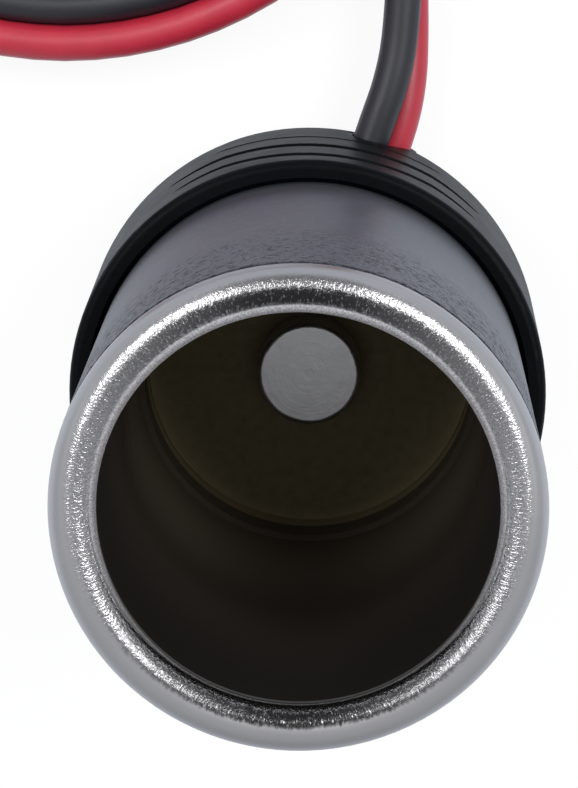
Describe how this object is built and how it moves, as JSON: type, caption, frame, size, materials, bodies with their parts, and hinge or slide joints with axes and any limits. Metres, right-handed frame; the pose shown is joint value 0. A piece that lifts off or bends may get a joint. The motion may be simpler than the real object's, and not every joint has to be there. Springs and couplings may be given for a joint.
{
  "type": "cigarette lighter socket",
  "caption": "In-line twelve volt accessory socket: plated shell with a rolled lip, insulated centre contact, black sleeve and grooved rear cap, with a coiled red and black lead.",
  "frame": {"origin": "centre of the flat base of the rear cap, on the surface that the socket stands on", "axes": "+Z along the axis of the bore, out of the mouth; +Y towards the side that the lead leaves from; +X to the right of that, seen from above"},
  "size_m": [0.0553, 0.0878, 0.046],
  "materials": {
    "plated_shell": "satin nickel plate with a fine crazed grain over the rolled lip, dark inside the bore",
    "sleeve": "matt black with fine speckle and light scuffs",
    "cap": "matt black, smooth moulded",
    "fibre": "dark olive brown pressed fibre",
    "contact": "dull plated steel, lightly worn",
    "brass": "plain pressed brass",
    "solder": "dull tin",
    "copper": "bare copper strands",
    "grommet": "soft black rubber",
    "inner_tie": "natural nylon",
    "wire_black": "matt black wire insulation",
    "wire_red": "satin red wire insulation",
    "coil_tie": "matt black tie"
  },
  "bodies": {
    "root": {"contact_shell": "plated_shell", "body_sleeve": "sleeve", "rear_cap": "cap", "floor_disc": "fibre", "rear_washer": "fibre", "contact_rivet": "contact", "clench_washer": "brass", "positive_tag": "brass", "negative_tag": "brass", "positive_solder": "solder", "negative_solder": "solder", "positive_core": "copper", "negative_core": "copper", "lead_grommet": "grommet", "inner_tie": "inner_tie", "wire_black": "wire_black", "wire_red": "wire_red", "lead_coil": "wire_red", "coil_tie": "coil_tie", "tail_black": "wire_black", "tail_red": "wire_red", "tip_black": "solder", "tip_red": "solder"}
  },
  "joints": []
}
